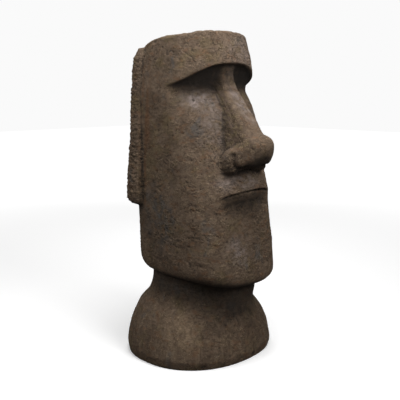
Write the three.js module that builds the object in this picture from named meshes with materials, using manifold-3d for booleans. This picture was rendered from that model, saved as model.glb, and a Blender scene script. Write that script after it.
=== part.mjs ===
// A moai head: a tall carved head with a heavy brow, a long nose, thin lips and long ears,
// on a short neck that flares into a round foot. It is one piece.
// Units are millimetres, +Z is up, and the face looks along -Y. The origin is the middle of the
// flat underside.

import * as THREE from 'three';
import { LoftGeometry } from 'three/addons/geometries/LoftGeometry.js';
import { mergeVertices } from 'three/addons/utils/BufferGeometryUtils.js';
import Module from 'manifold-3d';

// ---------------------------------------------------------------- driving dimensions

// Level lines run round the figure, from the underside to the crown. Each has its height in the
// middle of the front, at the sides and in the middle of the back. Its lean is how far it drops
// per unit of width towards +X, because the carving isn't quite even.
const UNDERSIDE = { front: 0, side: 0, back: 0, lean: 0 };
const FOOT_TOP = { front: 298, side: 348, back: 370, lean: 0.045 };
const NECK_TOP = { front: 434, side: 474, back: 498, lean: 0.05 };
const JAW = { front: 506, side: 556, back: 615, lean: 0.055 };
const MOUTH = { front: 980, side: 862, back: 930, lean: -0.02 };
const CHEEK = { front: 1300, side: 1240, back: 1250, lean: 0 };
const EYE = { front: 1548, side: 1512, back: 1500, lean: 0 };
const BROW = { front: 1672, side: 1548, back: 1600, lean: 0 };
const CROWN = { front: 1836, side: 1804, back: 1766, lean: 0 };
const SIDE_BEND = 2.6;

// Foot: its widest ring stands a little above the underside. Its top flows into the neck.
const FOOT = { halfWidth: 443, front: 389, back: 391, frontSquareness: 2.25, backSquareness: 2.3 };
const FOOT_TAPER = [[0, 0.975], [40, 1], [110, 0.97], [170, 0.92], [240, 0.815], [298, 0.71]];
const FOOT_FLOW = { from: 235, share: 0.55 };

// Neck and jaw: the jaw rounds out from the top of the neck, more squarely the higher the number.
const JAW_SQUARENESS = 2.5;
const NECK = { halfWidth: 274, front: 321, back: 226, frontSquareness: 2.7, backSquareness: 2.9 };

// Head, as [height in the middle of the front, size] where each line bends.
const HEAD_HALF_WIDTH = [
  [505, 338], [980, 342], [1300, 336], [1560, 331], [1672, 325], [1760, 309], [1836, 282],
];
const HEAD_FRONT = [
  [505, 419], [650, 399], [795, 378], [870, 368], [980, 352], [1080, 334],
  [1217, 294], [1300, 284], [1420, 280], [1672, 266], [1836, 216],
];
const HEAD_BACK = [[505, 244], [760, 254], [1672, 252], [1836, 240]];
const HEAD_FRONT_SQUARENESS = [[505, 3.35], [1217, 3.2], [1420, 2.5], [1600, 2.2], [1836, 2.4]];
const HEAD_BACK_SQUARENESS = 4;

// Crown: a small rounding, then a top that rises a little to its middle.
const CROWN_EDGE = { inset: 0.096, rise: 12, rings: 3 };
const CROWN_DOME = { rise: 6, insets: [0.4, 0.85] };

// Eye hollows under the brow, deepest beside the nose and gone at the temples. The powers say
// how the depth fades towards the temple, up to the brow and down to the cheek.
const HOLLOW = { depth: 108, bottom: 1290, inner: 90, outer: 324 };
const HOLLOW_POWERS = { sideways: 0.42, under: 0.42, over: 2.8 };
const HOLLOW_START = { from: 20, to: 110 };

// Mouth: an upper lip that stands proud, a crease, a thin lower lip and a hollow under it.
const LIPS = { reach: 54, lowerShare: 0.5, flatHalfWidth: 80, halfWidth: 290, start: 120, full: 260 };
const UPPER_LIP_HEIGHT = 122;
const LOWER_LIP = { flat: 12, height: 85 };
const CREASE = { depth: 10, halfHeight: 8, fullHalfWidth: 150, halfWidth: 220 };
const UNDER_LIP = { depth: 10, top: 14, middle: 60, bottom: 150 };

// Nose ridge: a straight flat front with flanks that spread to the cheeks.
const RIDGE = { bottom: 1180, top: 1700, rootDepth: 110, edgeRadius: 14 };
const RIDGE_FRONT = [[1180, 463], [1240, 450], [1300, 419], [1535, 236], [1600, 209], [1700, 238]];
const RIDGE_HALF_WIDTH = [[1180, 80], [1305, 74], [1600, 50], [1700, 46]];
const RIDGE_ROOT_HALF_WIDTH = [[1180, 122], [1393, 102], [1600, 80], [1700, 78]];
const RIDGE_CREASE = [[1180, 290], [1393, 240], [1516, 196], [1600, 168], [1700, 150]];

// Nose end: a broad roll from wing to wing that reaches furthest at the tip. Its wings hang
// lower, and its sections tip up towards the front by the rise.
const ROLL = { halfWidth: 158, reach: 226, back: 245, wingFront: 290, halfHeight: 85, height: 1194 };
const ROLL_WING_DROP = 88;
const ROLL_RISE = 0.36;
const ROLL_FULLNESS = 0.8;
const ROLL_WING_FULLNESS = 0.4;
const ROLL_END = 0.995;

// Ears: long slabs along the back half of each side, widest at the rounded lobe.
const EAR = { bottom: 880, top: 1762, lobeRadius: 46, backEdge: 233, flank: 30, inner: 200 };
const EAR_REACH = [
  [884, 378], [1000, 375], [1200, 351], [1460, 333], [1690, 311], [1740, 300], [1762, 270],
];
const EAR_FRONT_EDGE = [[884, 128], [1762, 168]];
const EAR_EDGE_RADIUS = 16;
const LOBE_INSET = { side: 0.9, front: 0.36 };

// Mesh fineness.
const COLUMNS = { front: 44, back: 22 };
const RIDGE_ROWS = 12;
const ROLL_COLUMNS = 16;
const ROLL_SIDES = 20;
const EAR_ROWS = 14;
const LOBE_ROWS = 4;
const CORNER_POINTS = 3;
const CROWDING = 1.6;
const MERGE_DISTANCE = 1e-3;

// ---------------------------------------------------------------- small helpers

const { abs, cos, hypot, max, min, pow, PI, sign, sin, sqrt } = Math;
const clamp01 = (value) => min(1, max(0, value));
const mix = (from, to, t) => from + (to - from) * t;
const signedPower = (value, power) => sign(value) * pow(abs(value), power);

function smoothstep(from, to, value) {
  const t = clamp01((value - from) / (to - from));
  return t * t * (3 - 2 * t);
}

// Size on a profile of [height, size] pairs, with straight runs between its bends.
function along(profile, height) {
  let i = 1;
  while (i < profile.length - 1 && height > profile[i][0]) i += 1;
  const [lowHeight, lowSize] = profile[i - 1];
  const [highHeight, highSize] = profile[i];
  return mix(lowSize, highSize, clamp01((height - lowHeight) / (highHeight - lowHeight)));
}

// Evenly spaced values from one end to the other, without the last.
function steps(from, to, count) {
  return Array.from({ length: count }, (_, i) => mix(from, to, i / count));
}

// The same, but closer together towards the end.
function crowdedSteps(from, to, count) {
  return steps(0, 1, count).map((t) => mix(from, to, 1 - pow(1 - t, CROWDING)));
}

const closedLoft = (rings) => new LoftGeometry(rings, { closed: true, capStart: true, capEnd: true });

// ---------------------------------------------------------------- body

const LINES = [UNDERSIDE, FOOT_TOP, NECK_TOP, JAW, MOUTH, CHEEK, EYE, BROW, CROWN];

// The level line through a height in the middle of the front.
function lineAt(level) {
  let i = 1;
  while (i < LINES.length - 1 && level > LINES[i].front) i += 1;
  const low = LINES[i - 1];
  const high = LINES[i];
  const t = (level - low.front) / (high.front - low.front);
  return {
    front: level,
    side: mix(low.side, high.side, t),
    back: mix(low.back, high.back, t),
    lean: mix(low.lean, high.lean, t),
  };
}

function mixPlans(from, to, t) {
  const plan = {};
  for (const key of Object.keys(from)) plan[key] = mix(from[key], to[key], t);
  return plan;
}

function footPlan(level) {
  const taper = along(FOOT_TAPER, level);
  const ring = {
    ...FOOT,
    halfWidth: FOOT.halfWidth * taper,
    front: FOOT.front * taper,
    back: FOOT.back * taper,
  };
  return mixPlans(ring, NECK, FOOT_FLOW.share * smoothstep(FOOT_FLOW.from, FOOT_TOP.front, level));
}

function headPlan(level) {
  return {
    halfWidth: along(HEAD_HALF_WIDTH, level),
    front: along(HEAD_FRONT, level),
    back: along(HEAD_BACK, level),
    frontSquareness: along(HEAD_FRONT_SQUARENESS, level),
    backSquareness: HEAD_BACK_SQUARENESS,
  };
}

// Plan of the body on a level line, before the face is carved.
function planAt(level) {
  if (level <= FOOT_TOP.front) {
    return footPlan(level);
  }
  if (level <= NECK_TOP.front) {
    return NECK;
  }
  if (level <= JAW.front) {
    const down = (JAW.front - level) / (JAW.front - NECK_TOP.front);
    const out = pow(1 - pow(down, JAW_SQUARENESS), 1 / JAW_SQUARENESS);
    return mixPlans(NECK, headPlan(JAW.front), out);
  }
  return headPlan(level);
}

// How far the eye hollow cuts in.
function hollowAt(x, level) {
  const sideways = clamp01((HOLLOW.outer - abs(x)) / (HOLLOW.outer - HOLLOW.inner));
  const under = clamp01((BROW.front - level) / (BROW.front - EYE.front));
  const over = clamp01((level - HOLLOW.bottom) / (EYE.front - HOLLOW.bottom));
  const fade = pow(sideways, HOLLOW_POWERS.sideways) * pow(under, HOLLOW_POWERS.under);
  return HOLLOW.depth * fade * pow(over, HOLLOW_POWERS.over);
}

// How far the mouth stands forward.
function mouthAt(x, level) {
  const above = level - MOUTH.front;
  const pout = 1 - smoothstep(LIPS.flatHalfWidth, LIPS.halfWidth, abs(x));
  const upper = 1 - smoothstep(0, UPPER_LIP_HEIGHT, above);
  const lower = LIPS.lowerShare * (1 - smoothstep(LOWER_LIP.flat, LOWER_LIP.height, -above));
  const lips = LIPS.reach * (above > 0 ? upper : lower);

  const mouth = 1 - smoothstep(CREASE.fullHalfWidth, CREASE.halfWidth, abs(x));
  const crease = CREASE.depth * clamp01(1 - abs(above) / CREASE.halfHeight);
  const intoHollow = smoothstep(UNDER_LIP.top, UNDER_LIP.middle, -above);
  const outOfHollow = 1 - smoothstep(UNDER_LIP.middle, UNDER_LIP.bottom, -above);
  return pout * lips - mouth * (crease + UNDER_LIP.depth * intoHollow * outOfHollow);
}

// A point of the body's surface, by its angle round the axis and its level line.
function bodyPoint(angle, level) {
  const plan = planAt(level);
  const line = lineAt(level);
  const isFront = sin(angle) < 0;
  const power = 2 / (isFront ? plan.frontSquareness : plan.backSquareness);
  const depth = isFront ? plan.front : plan.back;
  const x = plan.halfWidth * signedPower(cos(angle), power);
  const y = depth * signedPower(sin(angle), power);
  const drop = line.lean * x;
  if (!isFront) {
    return new THREE.Vector3(x, y, mix(line.side, line.back, smoothstep(0, depth, y)) - drop);
  }
  const height = mix(line.front, line.side, pow(abs(x) / plan.halfWidth, SIDE_BEND)) - drop;
  const inward = hollowAt(x, level) * smoothstep(HOLLOW_START.from, HOLLOW_START.to, -y);
  const forward = mouthAt(x, level) * smoothstep(LIPS.start, LIPS.full, -y);
  const shrink = 1 - inward / hypot(x, y);
  return new THREE.Vector3(x * shrink, y * shrink - forward, height);
}

// Angles of the columns, closer together on the face, counter-clockwise seen from above.
function columnAngles() {
  return [...steps(PI, 2 * PI, COLUMNS.front), ...steps(2 * PI, 3 * PI, COLUMNS.back)];
}

// Levels of the rings, closer together at the brow and the mouth.
function bodyLevels() {
  const creaseTop = MOUTH.front + CREASE.halfHeight;
  const creaseBottom = MOUTH.front - CREASE.halfHeight;
  const hollowTop = MOUTH.front - UNDER_LIP.top;
  const hollowMiddle = MOUTH.front - UNDER_LIP.middle;
  const hollowBottom = MOUTH.front - UNDER_LIP.bottom;
  return [
    UNDERSIDE.front,
    ...steps(40, FOOT_FLOW.from, 4),
    ...steps(FOOT_FLOW.from, FOOT_TOP.front, 3),
    ...steps(FOOT_TOP.front, NECK_TOP.front, 2),
    ...steps(0, 1, 6).map((t) => mix(NECK_TOP.front, JAW.front, t * t)),
    ...steps(JAW.front, hollowBottom, 5),
    ...steps(hollowBottom, hollowMiddle, 2),
    ...steps(hollowMiddle, hollowTop, 2),
    hollowTop,
    creaseBottom,
    MOUTH.front,
    ...steps(creaseTop, MOUTH.front + UPPER_LIP_HEIGHT, 3),
    ...steps(MOUTH.front + UPPER_LIP_HEIGHT, HOLLOW.bottom, 5),
    ...crowdedSteps(HOLLOW.bottom, EYE.front, 6),
    ...crowdedSteps(EYE.front, BROW.front, 5),
    ...steps(BROW.front, CROWN.front, 6),
  ];
}

// The crown's top slopes evenly from its front down to its back.
function crownHeight(y) {
  const front = along(HEAD_FRONT, CROWN.front);
  const back = along(HEAD_BACK, CROWN.front);
  return mix(CROWN.front, CROWN.back, (y + front) / (front + back));
}

function crownRings(angles) {
  const rim = angles.map((angle) => bodyPoint(angle, CROWN.front));
  const ringAt = (inset, rise) => rim.map(
    (p) => new THREE.Vector3(p.x * (1 - inset), p.y * (1 - inset), p.z + rise),
  );
  const turns = steps(PI / 2, 0, CROWN_EDGE.rings).reverse();
  const edge = turns.map(
    (turn) => ringAt(CROWN_EDGE.inset * (1 - cos(turn)), CROWN_EDGE.rise * sin(turn)),
  );
  const top = CROWN_DOME.insets.map((inset) => rim.map((p) => {
    const y = p.y * (1 - inset);
    const rise = CROWN_EDGE.rise + CROWN_DOME.rise * inset;
    return new THREE.Vector3(p.x * (1 - inset), y, crownHeight(y) + rise);
  }));
  return [rim, ...edge, ...top];
}

function makeBody() {
  const angles = columnAngles();
  const rings = bodyLevels().map((level) => angles.map((angle) => bodyPoint(angle, level)));
  return closedLoft([...rings, ...crownRings(angles)]);
}

// ---------------------------------------------------------------- nose and ears

// Plan outline through corner points, with each corner that has a radius rounded off.
function roundedOutline(corners) {
  return corners.flatMap(({ x, y, radius }, i) => {
    const corner = new THREE.Vector2(x, y);
    if (!radius) {
      return [corner];
    }
    const before = corners[(i + corners.length - 1) % corners.length];
    const after = corners[(i + 1) % corners.length];
    const start = new THREE.Vector2(before.x, before.y).sub(corner).setLength(radius).add(corner);
    const end = new THREE.Vector2(after.x, after.y).sub(corner).setLength(radius).add(corner);
    return new THREE.QuadraticBezierCurve(start, corner, end).getPoints(CORNER_POINTS);
  });
}

const atHeight = (outline, z) => outline.map((point) => new THREE.Vector3(point.x, point.y, z));

// The ridge is a stack of plan outlines: flat front, flanks out to the crease, root inside the head.
function makeNoseRidge() {
  const heights = [...steps(RIDGE.bottom, RIDGE.top, RIDGE_ROWS), RIDGE.top];
  return closedLoft(heights.map((z) => {
    const front = -along(RIDGE_FRONT, z);
    const crease = -along(RIDGE_CREASE, z);
    const half = along(RIDGE_HALF_WIDTH, z);
    const root = along(RIDGE_ROOT_HALF_WIDTH, z);
    return atHeight(roundedOutline([
      { x: root, y: -RIDGE.rootDepth },
      { x: -root, y: -RIDGE.rootDepth },
      { x: -root, y: crease },
      { x: -half, y: front, radius: RIDGE.edgeRadius },
      { x: half, y: front, radius: RIDGE.edgeRadius },
      { x: root, y: crease },
    ]), z);
  }));
}

// The roll is a row of egg-shaped sections from wing to wing.
function makeNoseRoll() {
  const places = [...steps(-1, 1, ROLL_COLUMNS), 1].map((t) => sin((t * PI) / 2) * ROLL_END);
  return closedLoft(places.map((across) => {
    const front = ROLL.wingFront + ROLL.reach * sqrt(1 - across ** 2);
    const middle = (front + ROLL.back) / 2;
    const halfDepth = (front - ROLL.back) / 2;
    const halfHeight = ROLL.halfHeight * pow(1 - abs(across) ** 3, ROLL_WING_FULLNESS);
    const centreHeight = ROLL.height - ROLL_WING_DROP * across ** 2;
    return steps(0, 2 * PI, ROLL_SIDES).map((angle) => {
      const back = halfDepth * signedPower(cos(angle), ROLL_FULLNESS);
      const up = halfHeight * signedPower(sin(angle), ROLL_FULLNESS) - ROLL_RISE * back;
      return new THREE.Vector3(ROLL.halfWidth * across, back - middle, centreHeight + up);
    });
  }));
}

// An ear is a stack of plan outlines that draw in at the lobe. Side is 1 or -1.
function makeEar(side) {
  const lobeTop = EAR.bottom + EAR.lobeRadius;
  const lobeHeights = steps(0, 1, LOBE_ROWS).map((t) => mix(EAR.bottom, lobeTop, t * t));
  const heights = [...lobeHeights, ...steps(lobeTop, EAR.top, EAR_ROWS), EAR.top];
  return closedLoft(heights.map((z) => {
    const down = clamp01((lobeTop - z) / EAR.lobeRadius);
    const inset = EAR.lobeRadius * (1 - sqrt(1 - down ** 2));
    const reach = along(EAR_REACH, z) - inset * LOBE_INSET.side;
    const front = along(EAR_FRONT_EDGE, z);
    const back = EAR.backEdge - inset * LOBE_INSET.side;
    const outline = roundedOutline([
      { x: side * reach, y: front + inset * LOBE_INSET.front, radius: EAR_EDGE_RADIUS },
      { x: side * reach, y: back, radius: EAR_EDGE_RADIUS },
      { x: side * EAR.inner, y: back },
      { x: side * EAR.inner, y: front - EAR.flank },
    ]);
    return atHeight(side > 0 ? outline : outline.reverse(), z);
  }));
}

// ---------------------------------------------------------------- joining

const wasm = await Module();
wasm.setup();

// A closed solid needs shared vertices, so only positions are kept and then merged.
function toSolid(geometry) {
  const bare = new THREE.BufferGeometry();
  bare.setAttribute('position', geometry.getAttribute('position'));
  bare.setIndex(geometry.getIndex());
  const merged = mergeVertices(bare, MERGE_DISTANCE);
  return new wasm.Manifold(new wasm.Mesh({
    numProp: 3,
    vertProperties: new Float32Array(merged.getAttribute('position').array),
    triVerts: new Uint32Array(merged.getIndex().array),
  }));
}

function toGeometry(solid) {
  const { vertProperties, triVerts } = solid.getMesh();
  const geometry = new THREE.BufferGeometry();
  geometry.setAttribute('position', new THREE.BufferAttribute(new Float32Array(vertProperties), 3));
  geometry.setIndex(new THREE.BufferAttribute(new Uint32Array(triVerts), 1));
  geometry.computeVertexNormals();
  return geometry;
}

const castStone = () => new THREE.MeshStandardMaterial({ color: 0x5c5047, roughness: 0.92, metalness: 0 });

function makeStatue() {
  const carvings = [makeNoseRidge(), makeNoseRoll(), makeEar(1), makeEar(-1)];
  const whole = carvings.reduce((solid, carving) => solid.add(toSolid(carving)), toSolid(makeBody()));
  const mesh = new THREE.Mesh(toGeometry(whole), castStone());
  mesh.name = 'moai_head_statue';
  return mesh;
}

const statue = new THREE.Group();
statue.add(makeStatue());

export default statue;
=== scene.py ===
"""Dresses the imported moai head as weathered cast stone, on a plain pale floor in soft light.

The statue's skin starts as a fine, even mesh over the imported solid. A carver's moves then sharpen
the lips, the nostrils and the brow, and weather roughens the whole. Every length is in metres.
"""

import logging
import math
from dataclasses import dataclass, field
from enum import Enum

import bmesh
import bpy
import numpy as np
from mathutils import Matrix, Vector
from mathutils.bvhtree import BVHTree


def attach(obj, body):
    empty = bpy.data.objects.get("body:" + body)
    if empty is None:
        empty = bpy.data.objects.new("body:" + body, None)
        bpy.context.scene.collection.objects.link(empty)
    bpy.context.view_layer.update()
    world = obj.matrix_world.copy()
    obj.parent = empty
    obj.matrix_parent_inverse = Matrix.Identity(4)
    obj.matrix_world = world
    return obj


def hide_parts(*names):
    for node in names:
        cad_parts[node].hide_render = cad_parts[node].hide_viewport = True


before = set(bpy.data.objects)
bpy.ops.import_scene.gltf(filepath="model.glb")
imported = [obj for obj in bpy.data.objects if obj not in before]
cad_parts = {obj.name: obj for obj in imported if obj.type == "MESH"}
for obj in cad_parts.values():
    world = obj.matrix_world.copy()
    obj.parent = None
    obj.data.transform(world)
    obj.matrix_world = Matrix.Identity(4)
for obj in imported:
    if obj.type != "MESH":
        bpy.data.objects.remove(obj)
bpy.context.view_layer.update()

LOG = logging.getLogger("moai")
NODE = "moai_head_statue"

Colour = tuple[float, float, float, float]
Triple = tuple[float, float, float]
Array = np.ndarray


def srgb(red: int, green: int, blue: int) -> Colour:
    """A display colour of 0 to 255 per channel as the linear colour that shaders read.

    Args:
        red: Red channel.
        green: Green channel.
        blue: Blue channel.

    Returns:
        Linear red, green, blue and full alpha.
    """
    def linear(channel: int) -> float:
        """One channel made linear."""
        value = channel / 255
        return value / 12.92 if value <= 0.04045 else ((value + 0.055) / 1.055) ** 2.4

    return linear(red), linear(green), linear(blue), 1.0


def ramp(low: float, high: float, values: Array) -> Array:
    """Smooth rise from 0 at low to 1 at high, or a fall if low is above high.

    Args:
        low: Value that gives 0.
        high: Value that gives 1.
        values: What is measured.

    Returns:
        Shares from 0 to 1.
    """
    t = np.clip((values - low) / (high - low), 0, 1)
    return t * t * (3 - 2 * t)


def hump(centre: float, width: float, values: Array) -> Array:
    """Bell of height 1 round a centre.

    Args:
        centre: Where the bell peaks.
        width: Distance at which it has fallen to about a third.
        values: What is measured.

    Returns:
        Shares from 0 to 1.
    """
    return np.exp(-(((values - centre) / width) ** 2))


def distance_to_path(points: Array, path: Array) -> Array:
    """Distance from each point to a path of straight runs.

    Args:
        points: Places, one row each, in two or three dimensions.
        path: The path's corners, one row each.

    Returns:
        The distances.
    """
    nearest = np.full(len(points), np.inf)
    for start, end in zip(path[:-1], path[1:]):
        run = end - start
        share = np.clip((points - start) @ run / (run @ run), 0, 1)
        nearest = np.minimum(nearest, np.linalg.norm(points - start - share[:, None] * run, axis=1))
    return nearest


# ---------------------------------------------------------------- seeded patterns


class Lattice:
    """Smooth seeded patterns in space, from random values on a lattice."""

    CORNERS = np.array([[i, j, k] for i in (0, 1) for j in (0, 1) for k in (0, 1)])
    NEIGHBOURS = np.array([[i, j, k] for i in (-1, 0, 1) for j in (-1, 0, 1) for k in (-1, 0, 1)])
    MIXERS = np.array([73856093, 19349663, 83492791])
    TABLE = 4096

    def __init__(self, seed: int) -> None:
        """Draws the table of random directions and sites.

        Args:
            seed: Number that fixes the draw.
        """
        draw = np.random.default_rng(seed)
        directions = draw.normal(size=(self.TABLE, 3))
        self.directions = directions / np.linalg.norm(directions, axis=1)[:, None]
        self.sites = draw.random((self.TABLE, 4))

    def _pick(self, cells: Array) -> Array:
        """Table row of each lattice cell."""
        mixed = cells * self.MIXERS
        return (mixed[:, 0] ^ mixed[:, 1] ^ mixed[:, 2]) % self.TABLE

    def noise(self, points: Array) -> Array:
        """Gradient noise with cells of unit size.

        Args:
            points: Places, one row each.

        Returns:
            Values from about -1 to 1.
        """
        cells = np.floor(points).astype(np.int64)
        inside = points - cells
        fade = inside**3 * (inside * (inside * 6 - 15) + 10)
        total = np.zeros(len(points))
        for corner in self.CORNERS:
            share = np.prod(np.where(corner, fade, 1 - fade), axis=1)
            slope = self.directions[self._pick(cells + corner)]
            total += share * np.einsum("ij,ij->i", slope, inside - corner)
        return total * 1.6

    def layered(self, points: Array, octaves: int, gain: float = 0.5) -> Array:
        """Noise with finer and weaker noise laid over it.

        Args:
            points: Places, one row each.
            octaves: Number of layers.
            gain: Strength of each layer against the last.

        Returns:
            Values from about -1 to 1.
        """
        return sum(gain**i * self.noise(points * 2.03**i + 17.3 * i) for i in range(octaves))

    def nearest_site(self, points: Array) -> tuple[Array, Array]:
        """Distance to the nearest of the random sites, one site to each unit cell.

        Args:
            points: Places, one row each.

        Returns:
            The distances, and a random share from 0 to 1 that belongs to each nearest site.
        """
        cells = np.floor(points).astype(np.int64)
        best = np.full(len(points), 9.0)
        share = np.zeros(len(points))
        for step in self.NEIGHBOURS:
            site = self.sites[self._pick(cells + step)]
            distance = np.linalg.norm(cells + step + site[:, :3] - points, axis=1)
            closer = distance < best
            best = np.where(closer, distance, best)
            share = np.where(closer, site[:, 3], share)
        return best, share


# ---------------------------------------------------------------- the skin as arrays


class Skin:
    """A closed mesh as arrays, with the moves that carving and weather make."""

    def __init__(self, mesh: bpy.types.Mesh) -> None:
        """Reads the mesh.

        Args:
            mesh: Mesh that later takes the moved points.
        """
        self.mesh = mesh
        self.points = self._read(mesh.vertices, "co")
        ends = np.empty(len(mesh.edges) * 2, np.int32)
        mesh.edges.foreach_get("vertices", ends)
        self.ends = ends.reshape(-1, 2)
        self.degree = np.bincount(self.ends.ravel(), minlength=len(self.points))

    @staticmethod
    def _read(items: bpy.types.bpy_prop_collection, name: str) -> Array:
        """A three-number property of a mesh's items, one row each.

        Args:
            items: The mesh's items, such as its vertices.
            name: The property.

        Returns:
            One row for each item.
        """
        flat = np.empty(len(items) * 3, np.float32)
        items.foreach_get(name, flat)
        return flat.reshape(-1, 3).astype(float)

    @property
    def x(self) -> Array:
        """Places across the face, positive to the right of someone looking at it."""
        return self.points[:, 0]

    @property
    def y(self) -> Array:
        """Places from front to back, negative at the face."""
        return self.points[:, 1]

    @property
    def z(self) -> Array:
        """Heights above the underside."""
        return self.points[:, 2]

    def neighbour_mean(self, values: Array) -> Array:
        """Mean of each point's neighbours.

        Args:
            values: One row for each point.

        Returns:
            The means, in the same form.
        """
        a, b = self.ends.T
        size = len(self.points)
        columns = [
            np.bincount(a, column[b], size) + np.bincount(b, column[a], size)
            for column in np.atleast_2d(values.T)
        ]
        return np.squeeze(np.stack(columns, axis=-1) / self.degree[:, None])

    def smooth(self, rounds: int, share: Array | float = 1.0) -> None:
        """Evens the skin out.

        Args:
            rounds: How many times each point moves halfway to its neighbours' mean.
            share: How much of that move each point makes.
        """
        share = np.broadcast_to(share, len(self.points))[:, None] * 0.5
        for _ in range(rounds):
            self.points += share * (self.neighbour_mean(self.points) - self.points)

    def normals(self) -> Array:
        """Outward unit normals of the points where they are now."""
        self.store()
        return self._read(self.mesh.vertex_normals, "vector")

    def push(self, distances: Array) -> None:
        """Moves each point outwards.

        Args:
            distances: How far, negative to cut in.
        """
        self.points += self.normals() * distances[:, None]

    def store(self) -> None:
        """Writes the points back to the mesh."""
        self.mesh.vertices.foreach_set("co", self.points.astype(np.float32).ravel())
        self.mesh.update()


# ---------------------------------------------------------------- carving


@dataclass
class LevelLine:
    """A line round the front that sags from the middle to the sides."""

    middle: float
    side: float
    half_width: float
    lean: float = 0.0
    bend: float = 2.6

    def height(self, x: Array) -> Array:
        """Height of the line at each place across the face.

        Args:
            x: Places across.

        Returns:
            Heights.
        """
        share = np.clip(np.abs(x) / self.half_width, 0, 1) ** self.bend
        return self.middle + (self.side - self.middle) * share - self.lean * x


@dataclass
class Carver:
    """The crisp forms that a carver cuts by hand into the smooth head."""

    lip_line: LevelLine = field(default_factory=lambda: LevelLine(0.980, 0.862, 0.342, -0.02))
    brow_line: LevelLine = field(default_factory=lambda: LevelLine(1.672, 1.548, 0.325))
    neck_line: LevelLine = field(default_factory=lambda: LevelLine(0.298, 0.348, 0.30, 0.045))
    crown_edge: float = 1.80
    evening_rounds: int = 14
    fillet_rounds: int = 160
    fillet_height: float = 0.065
    bridge: Triple = (0.0, -0.43, 1.29)
    bridge_radius: float = 0.115
    bridge_rounds: int = 170
    lip_cut: float = 0.008
    lip_cut_width: float = 0.0045
    lip_edge: float = 0.0035
    mouth_half_width: float = 0.185
    wing: Triple = (0.120, -0.318, 1.142)
    wing_radii: Triple = (0.052, 0.062, 0.072)
    wing_swell: float = 0.010
    nostril: Triple = (0.086, -0.415, 1.090)
    nostril_radius: float = 0.030
    nostril_cut: float = 0.032
    curl: tuple[Triple, ...] = (
        (0.100, -0.410, 1.092), (0.136, -0.392, 1.118), (0.142, -0.385, 1.150), (0.134, -0.376, 1.182),
    )
    curl_width: float = 0.015
    curl_cut: float = 0.013
    rim: tuple[Triple, ...] = (
        (0.158, -0.325, 1.135), (0.150, -0.335, 1.180), (0.132, -0.362, 1.204), (0.120, -0.395, 1.196),
    )
    rim_width: float = 0.009
    rim_height: float = 0.004

    def carve(self, skin: Skin) -> None:
        """Cuts every form.

        Args:
            skin: The statue's skin.
        """
        self._even_out(skin)
        self._swell_wings(skin)
        self._cut_lips(skin)
        self._cut_nostrils(skin)

    def _even_out(self, skin: Skin) -> None:
        """Rounds the facets away, less at the edges, and flows the foot and the nose's end in.

        Args:
            skin: The statue's skin.
        """
        above_floor = ramp(0.002, 0.02, skin.z)
        from_brow = np.abs(skin.z - self.brow_line.height(skin.x)) + np.where(skin.y < -0.05, 0, 1)
        keep_brow = 0.2 + 0.8 * ramp(0.01, 0.05, from_brow)
        edge = self.crown_edge
        keep_crown = 0.2 + 0.8 * ramp(edge, edge - 0.04, skin.z + 0.1 * skin.y.clip(0))
        skin.smooth(self.evening_rounds, above_floor * keep_brow * keep_crown)
        line = self.neck_line.height(skin.x) + 0.07 * ramp(-0.1, 0.2, skin.y)
        skin.smooth(self.fillet_rounds, hump(0, self.fillet_height, skin.z - line))
        from_bridge = np.linalg.norm(skin.points - self.bridge, axis=1)
        skin.smooth(self.bridge_rounds, ramp(self.bridge_radius, self.bridge_radius / 2, from_bridge))

    def _swell_wings(self, skin: Skin) -> None:
        """Rounds each wing of the nose into a fuller ball."""
        away = (np.abs(skin.x)[:, None] * (1, 0, 0) + skin.points * (0, 1, 1) - self.wing) / self.wing_radii
        skin.push(self.wing_swell * hump(0, 1, np.linalg.norm(away, axis=1)))

    def _cut_lips(self, skin: Skin) -> None:
        """Cuts the line between the lips and leaves the lower lip a thin edge.

        Args:
            skin: The statue's skin.
        """
        over = skin.z - self.lip_line.height(skin.x)
        reach = ramp(self.mouth_half_width + 0.02, self.mouth_half_width - 0.03, np.abs(skin.x))
        front = reach * ramp(-0.2, -0.28, skin.y)
        cut = self.lip_cut * hump(0, self.lip_cut_width, over)
        edge = self.lip_edge * hump(-0.012, 0.006, over)
        skin.push(front * (edge - cut))

    def _cut_nostrils(self, skin: Skin) -> None:
        """Hollows each side of the nose's end from below, with a hooked groove and rim on the wing.

        Args:
            skin: The statue's skin.
        """
        depth = np.zeros(len(skin.points))
        for side in (-1, 1):
            mirror = np.array((side, 1, 1))
            hole = np.linalg.norm(skin.points - self.nostril * mirror, axis=1)
            groove = distance_to_path(skin.points, np.array(self.curl) * mirror)
            rim = distance_to_path(skin.points, np.array(self.rim) * mirror)
            depth -= self.nostril_cut * hump(0, self.nostril_radius, hole)
            depth -= self.curl_cut * hump(0, self.curl_width, groove)
            depth += self.rim_height * hump(0, self.rim_width, rim)
        skin.push(depth)


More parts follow.
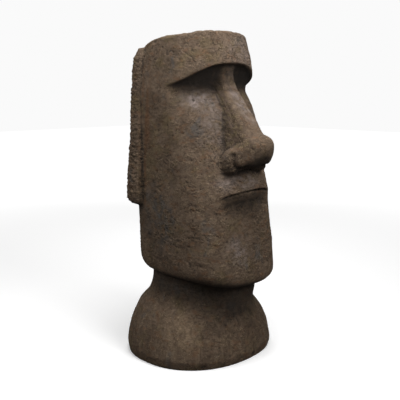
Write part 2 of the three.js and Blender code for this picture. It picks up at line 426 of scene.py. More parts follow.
@dataclass
class Weather:
    """What casting, tooling and weather leave on the skin."""

    seed: int = 41
    dent_depth: float = 0.0030
    wrinkle_crest: float = 0.0022
    wrinkle_crease: float = 0.0016
    stipple_depth: float = 0.0042
    ear_hole_depth: float = 0.0012
    groove_depth: float = 0.0026
    groove_slant: float = 0.78
    crack_edge: float = 0.0018
    crack_depth: float = 0.0030
    crack_half_width: float = 0.0045
    crown_bite: float = 0.006
    foot_bite: float = 0.004
    stroke_depth: float = 0.0014
    ear_front_heights: tuple[float, float] = (0.884, 1.762)
    ear_front_places: tuple[float, float] = (0.128, 0.168)
    cracks: tuple = (
        ((-0.232, 1.83), (-0.226, 1.76), (-0.232, 1.735)),
        ((-0.268, 1.735), (-0.246, 1.70), (-0.215, 1.655)),
        ((-0.300, 1.775), (-0.290, 1.70), (-0.275, 1.63)),
        ((-0.130, 1.83), (-0.124, 1.70)),
        ((0.060, 1.83), (0.075, 1.765)),
        ((0.190, 1.74), (0.175, 1.68)),
    )

    def wear(self, skin: Skin) -> None:
        """Roughens the skin.

        Args:
            skin: The statue's skin.
        """
        lattice = Lattice(self.seed)
        off_floor = ramp(0.0, 0.012, skin.z)
        relief = (
            self._dents(skin, lattice)
            + self._wrinkles(skin, lattice)
            + self._pits(skin, lattice)
            + self._tooling(skin, lattice)
            + self._cracks(skin, lattice)
            + self._chips(skin, lattice)
            + self._brushing(skin, lattice)
        )
        skin.push(relief * off_floor)

    def _dents(self, skin: Skin, lattice: Lattice) -> Array:
        """Broad unevenness all over."""
        return self.dent_depth * lattice.layered(skin.points / 0.16, 3, 0.55)

    def _wrinkles(self, skin: Skin, lattice: Lattice) -> Array:
        """Short wavy crests and creases over the cheeks and the jaw, fewer elsewhere.

        Args:
            skin: The statue's skin.
            lattice: The seeded patterns.

        Returns:
            How far each point moves out.
        """
        bent = skin.points + 0.010 * np.stack(
            [lattice.noise(skin.points / 0.05 + shift) for shift in (3.1, 7.7, 11.9)], axis=1
        )
        bent[:, 2] += 0.3 * bent[:, 0]
        crest = hump(0.1, 0.16, lattice.layered(bent / (0.040, 0.040, 0.020) + 5.5, 2))
        crease = hump(-0.3, 0.18, lattice.layered(bent / (0.036, 0.036, 0.018) + 9.5, 2))
        patches = ramp(-0.35, 0.25, lattice.noise(skin.points / 0.10 + 2.2))
        cheeks = ramp(0.48, 0.58, skin.z) * ramp(1.52, 1.36, skin.z)
        forehead = 0.5 * ramp(1.58, 1.66, skin.z)
        foot = 0.35 * ramp(0.34, 0.26, skin.z)
        rough = (cheeks * (1.1 - 0.5 * ramp(1.15, 1.35, skin.z)) + forehead) * self._off_nose(skin) + foot
        return (self.wrinkle_crest * crest - self.wrinkle_crease * crease) * patches * rough

    @staticmethod
    def _off_nose(skin: Skin) -> Array:
        """Share from 0 on the smooth front of the nose to 1 well away from it."""
        front = np.interp(skin.z, (1.18, 1.24, 1.30, 1.535), (0.44, 0.43, 0.39, 0.21))
        return 1 - 0.9 * ramp(0.03, 0.0, front + skin.y) * ramp(0.10, 0.08, np.abs(skin.x))

    def _pits(self, skin: Skin, lattice: Lattice) -> Array:
        """Scattered holes where grit and bubbles fell out.

        Args:
            skin: The statue's skin.
            lattice: The seeded patterns.

        Returns:
            How far each point moves out.
        """
        depth = np.zeros(len(skin.points))
        for cell, radius, cut, chance in ((0.034, 0.20, 0.0030, 0.40), (0.085, 0.10, 0.0055, 0.25)):
            distance, share = lattice.nearest_site(skin.points / cell + cell * 999)
            size = radius * (0.6 + 0.8 * share / chance)
            depth -= np.where(share < chance, cut * ramp(1, 0.35, distance / size), 0)
        return depth * (0.35 + 0.65 * ramp(0.45, 0.55, skin.z))

    @staticmethod
    def beside_nose(skin: Skin) -> Array:
        """Share of each point that lies on a side of the nose, between its front and the cheek.

        Args:
            skin: The statue's skin.

        Returns:
            The shares.
        """
        across = np.abs(skin.x)
        front = np.interp(skin.z, (1.18, 1.305, 1.60), (0.080, 0.074, 0.050))
        root = np.interp(skin.z, (1.18, 1.393, 1.60), (0.124, 0.104, 0.082))
        share = ramp(-0.006, 0.008, across - front) * ramp(0.0, 0.008, root - across)
        return share * ramp(-0.15, -0.18, skin.y) * ramp(1.19, 1.24, skin.z) * ramp(1.60, 1.55, skin.z)

    def _tooling(self, skin: Skin, lattice: Lattice) -> Array:
        """Rough stippling on the ears, and grooves that run down the sides of the nose.

        Args:
            skin: The statue's skin.
            lattice: The seeded patterns.

        Returns:
            How far each point moves out.
        """
        ear_front = np.interp(skin.z, self.ear_front_heights, self.ear_front_places)
        on_ear = ramp(-0.004, 0.014, skin.y - ear_front)
        on_ear = on_ear * ramp(0.270, 0.300, np.abs(skin.x)) * ramp(0.87, 0.90, skin.z)
        stipple = lattice.layered(skin.points / (0.024, 0.024, 0.013), 3, 0.65)
        holes, share = lattice.nearest_site(skin.points / 0.034)
        holes = np.where(share < 0.5, ramp(0.45, 0.1, holes), 0)

        forward = skin.y - self.groove_slant * skin.z
        grooves = np.stack([skin.x / 0.03, forward / 0.014, skin.z / 0.09], axis=1)
        grooves = lattice.layered(grooves + 61.5, 2, 0.7) + 0.4 * stipple
        ear_relief = on_ear * (self.stipple_depth * stipple - self.ear_hole_depth * holes)
        return ear_relief + self.groove_depth * self.beside_nose(skin) * grooves

    def _cracks(self, skin: Skin, lattice: Lattice) -> Array:
        """A few upright cracks down the forehead, with a raised edge on one side.

        Args:
            skin: The statue's skin.
            lattice: The seeded patterns.

        Returns:
            How far each point moves out.
        """
        wander = 0.010 * np.stack(
            [lattice.noise(skin.points / 0.035 + shift) for shift in (21.3, 27.9)], axis=1
        )
        face = skin.points[:, [0, 2]] + wander
        relief = np.zeros(len(face))
        for path in self.cracks:
            away = distance_to_path(face, np.array(path))
            beside = distance_to_path(face + (0.011, 0), np.array(path))
            relief += self.crack_edge * hump(0, 0.007, beside)
            relief -= self.crack_depth * hump(0, self.crack_half_width, away)
        broken = ramp(-0.45, 0.25, lattice.noise(skin.points / 0.045 + 71.1))
        return relief * broken * ramp(0.0, -0.05, skin.y)

    def _chips(self, skin: Skin, lattice: Lattice) -> Array:
        """Small bites out of the crown's edge and the foot's rim.

        Args:
            skin: The statue's skin.
            lattice: The seeded patterns.

        Returns:
            How far each point moves out.
        """
        distance, share = lattice.nearest_site(skin.points / 0.055 + 31.7)
        bite = np.where(share < 0.5, ramp(0.5, 0.15, distance), 0)
        radius = np.hypot(skin.x / 0.29, skin.y / 0.22)
        crown = ramp(1.775, 1.80, skin.z + 0.1 * np.clip(skin.y, 0, 1)) * ramp(0.80, 0.92, radius)
        foot = ramp(0.05, 0.02, skin.z)
        return -bite * (self.crown_bite * crown + self.foot_bite * foot)

    def _brushing(self, skin: Skin, lattice: Lattice) -> Array:
        """Upright strokes down the foot.

        Args:
            skin: The statue's skin.
            lattice: The seeded patterns.

        Returns:
            How far each point moves out.
        """
        around = np.arctan2(skin.y, skin.x) * 0.4
        strokes = np.stack([around / 0.020, skin.z / 0.22, np.zeros(len(around))], axis=1)
        return self.stroke_depth * lattice.layered(strokes + 50.5, 2) * ramp(0.30, 0.18, skin.z)


# ---------------------------------------------------------------- finishes


class Sum(Enum):
    """What a Math node works out."""

    ADD = "ADD"
    SUBTRACT = "SUBTRACT"
    MULTIPLY = "MULTIPLY"
    ABSOLUTE = "ABSOLUTE"


class Mark(Enum):
    """Numbers stored on the statue's points, which its finish reads."""

    CAVITY = "cavity"
    HOLLOW = "hollow"
    BESIDE_NOSE = "beside_nose"
    UNDER_BROW = "under_brow"
    SKY_SHADE = "shelter"


@dataclass(frozen=True)
class Spot:
    """A soft blob in space, and how strongly a finish shows at its middle."""

    centre: Triple
    radii: Triple
    share: float = 1.0

    def both_sides(self) -> tuple["Spot", "Spot"]:
        """The blob and its mirror image on the other side of the face."""
        x, y, z = self.centre
        return self, Spot((-x, y, z), self.radii, self.share)


@dataclass(frozen=True)
class Mottle:
    """A cloudy pattern, the values between which it rises, and how strongly it shows."""

    scale: float
    detail: float
    low: float
    high: float
    share: float = 1.0
    bend: float = 0.0
    roughness: float = 0.65


class Shader:
    """A material's nodes, built up by small named steps."""

    SPOT_CORE = 0.15

    def __init__(self, name: str) -> None:
        """Starts an empty material.

        Args:
            name: The material's name.
        """
        self.material = bpy.data.materials.new(name)
        self.material.use_nodes = True
        self.nodes = self.material.node_tree.nodes
        self.links = self.material.node_tree.links
        self.nodes.clear()
        self.place = self.nodes.new("ShaderNodeTexCoord").outputs["Object"]

    def feed(self, socket: bpy.types.NodeSocket, value: object) -> None:
        """Links a socket to another, or sets its plain value.

        Args:
            socket: Socket that takes the value.
            value: An output socket, a number or a colour.
        """
        if isinstance(value, bpy.types.NodeSocket):
            self.links.new(value, socket)
        else:
            socket.default_value = value

    def math(self, operation: Sum, a: object, b: object = 0.0) -> bpy.types.NodeSocket:
        """One sum on one or two numbers.

        Args:
            operation: What is worked out.
            a: First number or socket.
            b: Second number or socket.

        Returns:
            The result.
        """
        node = self.nodes.new("ShaderNodeMath")
        node.operation = operation.value
        self.feed(node.inputs[0], a)
        self.feed(node.inputs[1], b)
        return node.outputs[0]

    def times(self, *factors: object) -> bpy.types.NodeSocket:
        """Product of numbers or sockets.

        Args:
            factors: Numbers or sockets.

        Returns:
            The product.
        """
        result = factors[0]
        for factor in factors[1:]:
            result = self.math(Sum.MULTIPLY, result, factor)
        return result

    def rise(self, value: object, low: float, high: float) -> bpy.types.NodeSocket:
        """Smooth rise from 0 to 1, or a fall if low is above high.

        Args:
            value: What is measured.
            low: Value that gives 0.
            high: Value that gives 1.

        Returns:
            The share.
        """
        node = self.nodes.new("ShaderNodeMapRange")
        node.interpolation_type = "SMOOTHSTEP"
        falls = low > high
        self.feed(node.inputs["Value"], value)
        node.inputs["From Min"].default_value = min(low, high)
        node.inputs["From Max"].default_value = max(low, high)
        node.inputs["To Min"].default_value = 1.0 if falls else 0.0
        node.inputs["To Max"].default_value = 0.0 if falls else 1.0
        return node.outputs["Result"]

    def line(self, value: object, middle: float, half_width: float) -> bpy.types.NodeSocket:
        """Thin line where a pattern passes a value.

        Args:
            value: The pattern.
            middle: Value that the line follows.
            half_width: How far from that value the line fades out.

        Returns:
            The share, 1 on the line.
        """
        away = self.math(Sum.ABSOLUTE, self.math(Sum.SUBTRACT, value, middle))
        return self.rise(away, half_width, 0.0)

    def stretched(
        self, scale: Triple, shift: Triple = (0, 0, 0), turn: Triple = (0, 0, 0)
    ) -> bpy.types.NodeSocket:
        """Object coordinates stretched by a scale on each axis.

        Args:
            scale: Factor on each axis.
            shift: Offset added on each axis.
            turn: Turn about each axis, in radians.

        Returns:
            The coordinates.
        """
        node = self.nodes.new("ShaderNodeMapping")
        self.links.new(self.place, node.inputs["Vector"])
        node.inputs["Scale"].default_value = scale
        node.inputs["Location"].default_value = shift
        node.inputs["Rotation"].default_value = turn
        return node.outputs["Vector"]

    def noise(self, scale: float, detail: float = 4.0, roughness: float = 0.55, distortion: float = 0.0,
              at: bpy.types.NodeSocket | None = None) -> bpy.types.NodeSocket:
        """Cloudy pattern from 0 to 1.

        Args:
            scale: Cells to the metre.
            detail: Number of finer layers.
            roughness: Strength of the finer layers.
            distortion: How far the pattern is bent.
            at: Coordinates, or None for the object's own.

        Returns:
            The pattern.
        """
        node = self.nodes.new("ShaderNodeTexNoise")
        self.links.new(at or self.place, node.inputs["Vector"])
        node.inputs["Scale"].default_value = scale
        node.inputs["Detail"].default_value = detail
        node.inputs["Roughness"].default_value = roughness
        node.inputs["Distortion"].default_value = distortion
        return node.outputs["Fac"]

    def cells(self, scale: float, at: bpy.types.NodeSocket | None = None) -> bpy.types.NodeSocket:
        """Distance to the nearest of many scattered sites, in cells.

        Args:
            scale: Cells to the metre.
            at: Coordinates, or None for the object's own.

        Returns:
            The distance.
        """
        node = self.nodes.new("ShaderNodeTexVoronoi")
        self.links.new(at or self.place, node.inputs["Vector"])
        node.inputs["Scale"].default_value = scale
        return node.outputs["Distance"]

    def near(self, spot: Spot) -> bpy.types.NodeSocket:
        """Blob that falls from its share at the middle to 0 at its radii.

        Args:
            spot: The blob.

        Returns:
            The share.
        """
        scale = tuple(1 / radius for radius in spot.radii)
        shift = tuple(-place / radius for place, radius in zip(spot.centre, spot.radii))
        length = self.nodes.new("ShaderNodeVectorMath")
        length.operation = "LENGTH"
        self.links.new(self.stretched(scale, shift), length.inputs[0])
        return self.times(spot.share, self.rise(length.outputs["Value"], 1.0, self.SPOT_CORE))

    def mottled(self, mottle: Mottle, at: bpy.types.NodeSocket | None = None) -> bpy.types.NodeSocket:
        """Cloudy patches with soft edges.

        Args:
            mottle: The pattern.
            at: Coordinates, or None for the object's own.

        Returns:
            The share, up to the pattern's own.
        """
        cloud = self.noise(mottle.scale, mottle.detail, mottle.roughness, mottle.bend, at)
        return self.times(mottle.share, self.rise(cloud, mottle.low, mottle.high))

    def height(self) -> bpy.types.NodeSocket:
        """Height above the underside.

        Returns:
            The height.
        """
        split = self.nodes.new("ShaderNodeSeparateXYZ")
        self.links.new(self.place, split.inputs[0])
        return split.outputs["Z"]

    def lay(self, under: object, over: object, share: object) -> bpy.types.NodeSocket:
        """One colour laid over another.

        Args:
            under: Colour below.
            over: Colour above.
            share: How much of the upper one shows.

        Returns:
            The colour.
        """
        node = self.nodes.new("ShaderNodeMix")
        node.data_type = "RGBA"
        node.clamp_factor = True
        self.feed(node.inputs["Factor"], share)
        sockets = [s for s in node.inputs if s.type == "RGBA"]
        self.feed(sockets[0], under)
        self.feed(sockets[1], over)
        return next(s for s in node.outputs if s.type == "RGBA")

    def mark(self, mark: Mark) -> bpy.types.NodeSocket:
        """A number stored on the mesh's points.

        Args:
            mark: Which number.

        Returns:
            The number.
        """
        node = self.nodes.new("ShaderNodeAttribute")
        node.attribute_name = mark.value
        return node.outputs["Fac"]

    def finish(self, colour: object, roughness: object, height: object, relief: float) -> bpy.types.Material:
        """Joins the layers in one surface shader.

        Args:
            colour: Base colour.
            roughness: Roughness.
            height: Height pattern, 0 to 1.
            relief: How deep the height pattern is, in metres.

        Returns:
            The material.
        """
        bump = self.nodes.new("ShaderNodeBump")
        bump.inputs["Strength"].default_value = 1.0
        bump.inputs["Distance"].default_value = relief
        self.feed(bump.inputs["Height"], height)
        surface = self.nodes.new("ShaderNodeBsdfPrincipled")
        surface.inputs["Specular IOR Level"].default_value = 0.3
        self.feed(surface.inputs["Base Color"], colour)
        self.feed(surface.inputs["Roughness"], roughness)
        self.links.new(bump.outputs["Normal"], surface.inputs["Normal"])
        output = self.nodes.new("ShaderNodeOutputMaterial")
        self.links.new(surface.outputs["BSDF"], output.inputs["Surface"])
        return self.material


@dataclass(frozen=True)
class WeatheredStone:
    """Brown stone finish with mauve wear and a painted sheen, blue-grey patches, ochre and rust, painted
    shade in its hollows and painted light on the foot.
    """

    name: str = "weathered_cast_stone"
    brown: Colour = srgb(112, 94, 77)
    umber: Colour = srgb(82, 66, 52)
    # Mauve for wear that is partly a painted sheen.
    mauve: Colour = srgb(136, 123, 116)
    slate: Colour = srgb(80, 82, 82)
    ochre: Colour = srgb(104, 89, 60)
    rust: Colour = srgb(104, 72, 47)
    # Pale colour, partly a painted highlight on the wrinkle crests, also used for light strokes and the
    # painted light patch on the foot.
    crest: Colour = srgb(170, 146, 116)
    # Dark brown for painted shade in creases, pits, hollows, under the brow and round the nose.
    shade_dark: Colour = srgb(30, 25, 21)
    relief: float = 0.006
    wrinkle_slant: float = math.radians(14)

    # Spots of mauve wear with a painted sheen: forehead, under the eye, cheek, bridge, upper lip and chin.
    forehead: Spot = Spot((0.12, -0.25, 1.73), (0.26, 0.2, 0.14), 0.5)
    under_eye: Spot = Spot((-0.20, -0.20, 1.48), (0.19, 0.16, 0.10))
    cheek: Spot = Spot((-0.16, -0.28, 1.33), (0.18, 0.14, 0.20), 0.6)
    bridge: Spot = Spot((0.02, -0.30, 1.47), (0.08, 0.22, 0.24))
    upper_lip: Spot = Spot((-0.08, -0.36, 1.03), (0.26, 0.12, 0.07), 0.7)
    chin: Spot = Spot((-0.10, -0.42, 0.66), (0.14, 0.14, 0.12), 0.8)
    # Spots on the lit lips and bridge of the nose where the painted sky shade is left off.
    unshaded_lips: Spot = Spot((0, -0.38, 1.02), (0.30, 0.16, 0.11), 0.9)
    unshaded_bridge: Spot = Spot((0, -0.22, 1.55), (0.09, 0.12, 0.16), 0.9)
    slate_jaw: Spot = Spot((-0.33, -0.02, 0.84), (0.14, 0.18, 0.30), 0.65)
    slate_neck: Spot = Spot((0.0, 0.0, 0.42), (0.5, 0.5, 0.08), 0.65)
    ear_groove: Spot = Spot((0.335, 0.10, 1.30), (0.07, 0.07, 0.62), 0.8)
    # Painted shade on the nose's wings, and a painted shadow under the nose.
    wing: Spot = Spot((0.13, -0.34, 1.13), (0.07, 0.10, 0.09))
    nose_shadow: Spot = Spot((0, -0.40, 1.095), (0.17, 0.15, 0.045), 0.5)
    foot: Spot = Spot((0, 0, 0.1), (0.8, 0.8, 0.32))
    # Painted light on the foot's near side, and a painted shadow of the jaw on the foot's front.
    lit_foot_patch: Spot = Spot((-0.35, -0.19, 0.20), (0.11, 0.15, 0.20), 0.40)
    jaw_shadow_on_foot: Spot = Spot((0.06, -0.38, 0.18), (0.16, 0.12, 0.20), 0.6)

    def build(self) -> bpy.types.Material:
        """Makes the material.

        Returns:
            The material.
        """
        s = Shader(self.name)
        fine = s.noise(170, 4, 0.7)
        tilted = s.stretched((1, 1, 1.9), turn=(0, self.wrinkle_slant, 0))
        wave = s.noise(34, 3, 0.62, 0.9, tilted)
        crest = s.times(s.line(wave, 0.52, 0.045), s.rise(s.noise(23, 2), 0.42, 0.56))
        crease = s.line(wave, 0.44, 0.04)
        pit = s.rise(s.cells(105), 0.30, 0.12)
        rougher = s.math(Sum.ADD, 0.55, s.times(0.45, s.rise(s.height(), 1.45, 1.15)))

        colour = self._ground(s, tilted)
        colour = self._worn_and_sheen(s, colour)
        colour = self._patches(s, colour)
        colour = self._ear_rust(s, colour)
        colour = self._nose_shade_and_green(s, colour)
        colour = self._foot_strokes_light_and_shade(s, colour)
        # Pale flecks on the wrinkle crests, partly a painted highlight on them.
        colour = s.lay(colour, self.crest, s.times(0.60, crest, s.rise(fine, 0.38, 0.58), rougher))
        # Painted shade: dark brown laid into the wrinkle creases, the pits, the small creases and broad
        # hollows, where the statue hides the sky, and under the brow.
        for darkening in (
            s.times(0.34, crease, rougher),
            s.times(0.50, pit, s.rise(s.noise(20), 0.45, 0.6)),
            s.times(0.55, s.rise(s.mark(Mark.CAVITY), 0.1, 0.9)),
            s.times(0.30, s.rise(s.mark(Mark.HOLLOW), 0.15, 0.90)),
            s.times(0.74, self._painted_sky_shade(s)),
            s.times(0.80, s.mark(Mark.UNDER_BROW)),
        ):
            colour = s.lay(colour, self.shade_dark, darkening)

        raised = s.times(0.30, s.math(Sum.SUBTRACT, crest, crease))
        height = s.math(Sum.ADD, raised, s.times(0.60, fine, rougher))
        height = s.math(Sum.SUBTRACT, height, s.times(0.30, pit))
        roughness = s.math(Sum.ADD, 0.66, s.times(0.3, fine))
        return s.finish(colour, roughness, height, self.relief)

    def _ground(self, s: Shader, tilted: bpy.types.NodeSocket) -> bpy.types.NodeSocket:
        """Brown mottled with umber, ochre and rust.

        Args:
            s: The material's nodes.
            tilted: Coordinates along which the wrinkles run.

        Returns:
            The colour.
        """
        colour = s.lay(self.brown, self.umber, s.mottled(Mottle(13, 5, 0.42, 0.66, 0.55)))
        colour = s.lay(colour, self.umber, s.mottled(Mottle(60, 4, 0.46, 0.66, 0.6)))
        colour = s.lay(colour, self.ochre, s.mottled(Mottle(8, 6, 0.50, 0.66, 0.55, bend=0.4)))
        return s.lay(colour, self.rust, s.mottled(Mottle(17, 5, 0.52, 0.66, 0.55, bend=0.3), tilted))

    def _painted_sky_shade(self, s: Shader) -> bpy.types.NodeSocket:
        """Painted shade where the statue hides the sky above, left off the lips and the bridge of the nose.

        Args:
            s: The material's nodes.

        Returns:
            The share.
        """
        # Painted shade that grows with how much of the sky the statue hides.
        darkening = s.rise(s.mark(Mark.SKY_SHADE), 0.50, 1.0)
        for spot in (self.unshaded_lips, self.unshaded_bridge):
            darkening = s.times(darkening, s.math(Sum.SUBTRACT, 1.0, s.near(spot)))
        return darkening

    def _worn_and_sheen(self, s: Shader, colour: bpy.types.NodeSocket) -> bpy.types.NodeSocket:
        """Smooth mauve wear with a painted sheen on what stands out most.

        Args:
            s: The material's nodes.
            colour: Colour below.

        Returns:
            The colour.
        """
        for spot in (self.forehead, self.under_eye, self.chin, self.bridge, self.upper_lip, self.cheek):
            sheen_share = s.times(s.near(spot), s.mottled(Mottle(19, 5, 0.34, 0.62)))
            colour = s.lay(colour, self.mauve, sheen_share)
        return colour

    def _patches(self, s: Shader, colour: bpy.types.NodeSocket) -> bpy.types.NodeSocket:
        """Blue-grey patches, more of them behind the jaw and round the neck.

        Args:
            s: The material's nodes.
            colour: Colour below.

        Returns:
            The colour.
        """
        place = s.stretched((1, 1, 0.8), (4, 4, 4))
        all_over = Mottle(10, 6, 0.58, 0.70, 0.5, bend=0.4, roughness=0.62)
        colour = s.lay(colour, self.slate, s.mottled(all_over, place))
        for spot in (self.slate_jaw, self.slate_neck):
            colour = s.lay(colour, self.slate, s.times(s.near(spot), s.mottled(Mottle(18, 6, 0.42, 0.60))))
        return colour

    def _ear_rust(self, s: Shader, colour: bpy.types.NodeSocket) -> bpy.types.NodeSocket:
        """Rust that ran down in front of the ears.

        Args:
            s: The material's nodes.
            colour: Colour below.

        Returns:
            The colour.
        """
        run = s.mottled(Mottle(30, 3, 0.40, 0.62, roughness=0.6), s.stretched((1, 1, 0.12)))
        for spot in self.ear_groove.both_sides():
            colour = s.lay(colour, self.rust, s.times(s.near(spot), run))
        return colour

    def _nose_shade_and_green(self, s: Shader, colour: bpy.types.NodeSocket) -> bpy.types.NodeSocket:
        """Painted shade on the wings and down both sides of the nose, a painted shadow under it, and green
        down both sides.

        Args:
            s: The material's nodes.
            colour: Colour below.

        Returns:
            The colour.
        """
        # Painted shade on each wing of the nose.
        for spot in self.wing.both_sides():
            wing = s.near(spot)
            colour = s.lay(colour, self.umber, wing)
            colour = s.lay(colour, self.shade_dark, s.times(0.35, wing))
        # Painted shadow under the nose.
        colour = s.lay(colour, self.shade_dark, s.near(self.nose_shadow))
        # Painted shade down both sides of the nose; the green mottle laid after it is the stone's own
        # colour.
        beside_nose = s.mark(Mark.BESIDE_NOSE)
        colour = s.lay(colour, self.umber, s.times(0.7, beside_nose))
        green = Mottle(40, 4, 0.45, 0.6, 0.5, roughness=0.55)
        return s.lay(colour, self.ochre, s.times(beside_nose, s.mottled(green)))

    def _foot_strokes_light_and_shade(self, s: Shader, colour: bpy.types.NodeSocket) -> bpy.types.NodeSocket:
        """Dark and light upright strokes on the foot, a painted light patch on its near side and a painted
        shadow of the jaw on its front.

        Args:
            s: The material's nodes.
            colour: Colour below.

        Returns:
            The colour.
        """
        foot = s.near(self.foot)
        dark = s.mottled(Mottle(38, 4, 0.45, 0.65, 0.8, bend=0.2), s.stretched((1, 1, 0.1)))
        colour = s.lay(colour, self.umber, s.times(foot, dark))
        light = Mottle(44, 3, 0.52, 0.66, 0.30, bend=0.2, roughness=0.6)
        light = s.mottled(light, s.stretched((1, 1, 0.08), (3, 3, 3)))
        colour = s.lay(colour, self.crest, s.times(foot, light))
        # Painted light patch on the foot's near side, then a painted shadow of the jaw on its front.
        foot_light = s.times(s.near(self.lit_foot_patch), s.mottled(Mottle(26, 4, 0.36, 0.60)))
        colour = s.lay(colour, self.crest, foot_light)
        return s.lay(colour, self.umber, s.near(self.jaw_shadow_on_foot))


@dataclass(frozen=True)
class PaleFloor:
    """Even pale floor that runs into the backdrop, and throws little light back up."""

    name: str = "pale_floor"
    pale: Colour = srgb(240, 240, 240)
    dull: Colour = srgb(92, 90, 88)
    roughness: float = 0.9
    glow_near: float = 0.30
    glow_far: float = 0.955
    glow_start: float = 1.0
    glow_end: float = 7.0

    def build(self) -> bpy.types.Material:
        """Makes the material.

        Returns:
            The material.
        """
        s = Shader(self.name)
        ray = s.nodes.new("ShaderNodeLightPath").outputs["Is Camera Ray"]
        surface = s.nodes.new("ShaderNodeBsdfPrincipled")
        surface.inputs["Roughness"].default_value = self.roughness
        surface.inputs["Emission Color"].default_value = (1, 1, 1, 1)
        s.feed(surface.inputs["Base Color"], s.lay(self.dull, self.pale, ray))
        outwards = s.nodes.new("ShaderNodeVectorMath")
        outwards.operation = "LENGTH"
        s.links.new(s.place, outwards.inputs[0])
        far = s.rise(outwards.outputs["Value"], self.glow_start, self.glow_end)
        glow = s.math(Sum.ADD, self.glow_near, s.times(self.glow_far - self.glow_near, far))
        s.feed(surface.inputs["Emission Strength"], s.times(glow, ray))
        output = s.nodes.new("ShaderNodeOutputMaterial")
        s.links.new(surface.outputs["BSDF"], output.inputs["Surface"])
        return s.material


# ---------------------------------------------------------------- the statue


@dataclass
class Statue:
    """The one casting: skin, carving, weather and finish."""

    name: str = "moai_head_carved"
    voxel: float = 0.0045
    most_triangles: int = 190_000
    merge_distance: float = 1e-5
    sky_rays: int = 12
    sky_reach: float = 0.6
    sky_blur: int = 4
    carver: Carver = field(default_factory=Carver)
    weather: Weather = field(default_factory=Weather)
    finish: WeatheredStone = field(default_factory=WeatheredStone)

    def make(self) -> bpy.types.Object:
        """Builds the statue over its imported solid.

        Returns:
            The finished piece.
        """
        piece = self._fine_copy()
        skin = Skin(piece.data)
        LOG.info("fine copy has %d points", len(skin.points))
        self.carver.carve(skin)
        self.weather.wear(skin)
        self._seat(skin)
        skin.store()
        self._thin(piece)
        self._mark_hollows(piece.data)
        self._mark_sky_shade(piece.data)
        piece.data.shade_smooth()
        piece.data.materials.clear()
        piece.data.materials.append(self.finish.build())
        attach(piece, "root")
        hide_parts(NODE)
        LOG.info("%s has %d triangles", piece.name, len(piece.data.polygons))
        return piece

    def _fine_copy(self) -> bpy.types.Object:
        """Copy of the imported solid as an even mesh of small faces.

        Returns:
            The copy.
        """
        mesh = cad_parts[NODE].data.copy()
        joined = bmesh.new()
        joined.from_mesh(mesh)
        bmesh.ops.remove_doubles(joined, verts=joined.verts, dist=self.merge_distance)
        joined.to_mesh(mesh)
        joined.free()
        piece = bpy.data.objects.new(self.name, mesh)
        bpy.context.scene.collection.objects.link(piece)
        remesh = piece.modifiers.new("even", "REMESH")
        remesh.mode = "VOXEL"
        remesh.voxel_size = self.voxel
        return self._apply(piece)

    def _apply(self, piece: bpy.types.Object) -> bpy.types.Object:
        """Makes the piece's modifiers part of its mesh.

        Args:
            piece: The piece.

        Returns:
            The same piece.
        """
        graph = bpy.context.evaluated_depsgraph_get()
        mesh = bpy.data.meshes.new_from_object(piece.evaluated_get(graph))
        piece.modifiers.clear()
        piece.data = mesh
        mesh.name = self.name
        return piece

    def _seat(self, skin: Skin) -> None:
        """Keeps the underside flat on the floor."""
        skin.points[:, 2] = np.where(skin.z < 0.003, 0.0, skin.z)

    def _thin(self, piece: bpy.types.Object) -> None:
        """Merges the flattest faces until the piece is within its limit.

        Args:
            piece: The piece.
        """
        faces = sum(len(p.vertices) - 2 for p in piece.data.polygons)
        thin = piece.modifiers.new("thin", "DECIMATE")
        thin.ratio = min(1.0, self.most_triangles / faces)
        self._apply(piece)

    def _mark(self, mesh: bpy.types.Mesh, mark: Mark, values: Array) -> None:
        """Stores one number for each point, which the finish reads."""
        stored = mesh.attributes.new(mark.value, "FLOAT", "POINT")
        stored.data.foreach_set("value", np.clip(values, -1, 1).astype(np.float32))

    def _mark_hollows(self, mesh: bpy.types.Mesh) -> None:
        """Marks how hollow the skin is at each point, closely and broadly, for the finish to paint shade
        into.

        Args:
            mesh: The statue's mesh.
        """
        skin = Skin(mesh)
        normals = skin.normals()
        smoothed = skin.points
        for mark, rounds, scale in ((Mark.CAVITY, 3, 0.0012), (Mark.HOLLOW, 70, 0.010)):
            for _ in range(rounds):
                smoothed = skin.neighbour_mean(smoothed)
            depth = np.einsum("ij,ij->i", smoothed - skin.points, normals)
            self._mark(mesh, mark, depth / scale)
        self._mark(mesh, Mark.BESIDE_NOSE, self.weather.beside_nose(skin))
        self._mark(mesh, Mark.UNDER_BROW, self._under_brow(skin))

    def _under_brow(self, skin: Skin) -> Array:
        """Share of each point that lies in the deep shade between the brow's edge and the cheek.

        Args:
            skin: The statue's skin.

        Returns:
            The shares.
        """
        below_brow = ramp(0.004, -0.012, skin.z - self.carver.brow_line.height(skin.x))
        over_cheek = ramp(1.535, 1.562, skin.z)
        off_bridge = ramp(0.085, 0.120, np.abs(skin.x))
        return below_brow * over_cheek * off_bridge * ramp(-0.04, -0.08, skin.y)

    def _mark_sky_shade(self, mesh: bpy.types.Mesh) -> None:
        """Marks how much of the sky above each point the statue hides, which the finish paints as shade.

        Args:
            mesh: The statue's mesh.
        """
        skin = Skin(mesh)
        starts = skin.points + 0.004 * skin.normals()
        tree = BVHTree.FromPolygons(skin.points.tolist(), [tuple(face.vertices) for face in mesh.polygons])
        turns = [i * math.tau * 0.382 for i in range(self.sky_rays)]
        lifts = [math.radians(35 + 50 * (i + 0.5) / self.sky_rays) for i in range(self.sky_rays)]
        sky = [
            Vector((math.cos(turn) * math.cos(lift), math.sin(turn) * math.cos(lift), math.sin(lift)))
            for turn, lift in zip(turns, lifts)
        ]
        hidden = np.array([
            sum(tree.ray_cast(start, way, self.sky_reach)[0] is not None for way in sky)
            for start in map(Vector, starts)
        ]) / self.sky_rays
        for _ in range(self.sky_blur):
            hidden = skin.neighbour_mean(hidden)
        self._mark(mesh, Mark.SKY_SHADE, hidden)


# ---------------------------------------------------------------- stage


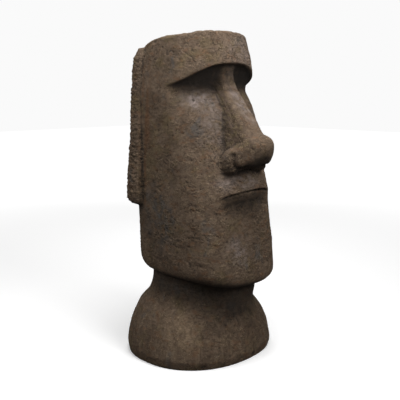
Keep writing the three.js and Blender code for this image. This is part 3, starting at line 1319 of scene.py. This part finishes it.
@dataclass
class Studio:
    """Camera, floor and lights."""

    distance: float = 3.8
    eye_height: float = 1.52
    turn: float = math.radians(-46)
    tilt: float = math.radians(9.5)
    lens: float = 58.5
    sensor: float = 36.0
    floor_size: float = 40.0
    backdrop: Colour = srgb(250, 250, 250)

    def set_up(self) -> None:
        """Makes everything round the statue."""
        self._camera()
        self._floor()
        self._lights()
        bpy.context.scene.view_settings.view_transform = "Standard"

    def _camera(self) -> None:
        """Places the camera at eye height, in front and to one side."""
        data = bpy.data.cameras.new("camera")
        data.lens = self.lens
        data.sensor_width = self.sensor
        camera = bpy.data.objects.new("camera", data)
        camera.location = (
            self.distance * math.sin(self.turn), -self.distance * math.cos(self.turn), self.eye_height,
        )
        camera.rotation_euler = (math.pi / 2 - self.tilt, 0, self.turn)
        bpy.context.scene.collection.objects.link(camera)
        bpy.context.scene.camera = camera

    def _floor(self) -> None:
        """Lays the plain floor."""
        mesh = bpy.data.meshes.new("floor")
        plane = bmesh.new()
        bmesh.ops.create_grid(plane, x_segments=1, y_segments=1, size=self.floor_size / 2)
        plane.to_mesh(mesh)
        plane.free()
        mesh.materials.append(PaleFloor().build())
        floor = bpy.data.objects.new("floor", mesh)
        bpy.context.scene.collection.objects.link(floor)

    def _lights(self) -> None:
        """Hangs a soft light overhead, weaker ones on three sides, and lights the air a little."""
        self._panel("overhead", (-0.23, -0.62, 4.13), 1.6, 92)
        self._panel("front", (-0.24, -2.76, 2.6), 1.6, 56)
        self._panel("side", (-2.60, 0.95, 2.6), 1.6, 36)
        self._panel("behind", (2.2, 2.2, 2.8), 1.6, 36)
        world = bpy.data.worlds.new("air")
        world.use_nodes = True
        nodes = world.node_tree.nodes
        links = world.node_tree.links
        nodes.clear()
        seen = nodes.new("ShaderNodeBackground")
        seen.inputs["Color"].default_value = self.backdrop
        seen.inputs["Strength"].default_value = 1.0
        felt = nodes.new("ShaderNodeBackground")
        felt.inputs["Color"].default_value = (1, 1, 1, 1)
        felt.inputs["Strength"].default_value = 0.08
        ray = nodes.new("ShaderNodeLightPath")
        either = nodes.new("ShaderNodeMixShader")
        output = nodes.new("ShaderNodeOutputWorld")
        links.new(ray.outputs["Is Camera Ray"], either.inputs[0])
        links.new(felt.outputs[0], either.inputs[1])
        links.new(seen.outputs[0], either.inputs[2])
        links.new(either.outputs[0], output.inputs[0])
        bpy.context.scene.world = world

    @staticmethod
    def _panel(name: str, place: tuple[float, float, float], size: float, power: float) -> None:
        """Adds one square light that looks at the statue's middle.

        Args:
            name: The light's name.
            place: Where it hangs.
            size: Length of its side.
            power: Its power in watts.
        """
        data = bpy.data.lights.new(name, "AREA")
        data.size = size
        data.energy = power
        light = bpy.data.objects.new(name, data)
        light.location = place
        light.rotation_euler = (Vector((0, 0, 1.0)) - Vector(place)).to_track_quat("-Z", "Y").to_euler()
        bpy.context.scene.collection.objects.link(light)


def main() -> None:
    """Builds the statue and its stage."""
    logging.basicConfig(level=logging.INFO, format="%(name)s: %(message)s")
    Studio().set_up()
    Statue().make()


if __name__ == "__main__":
    main()
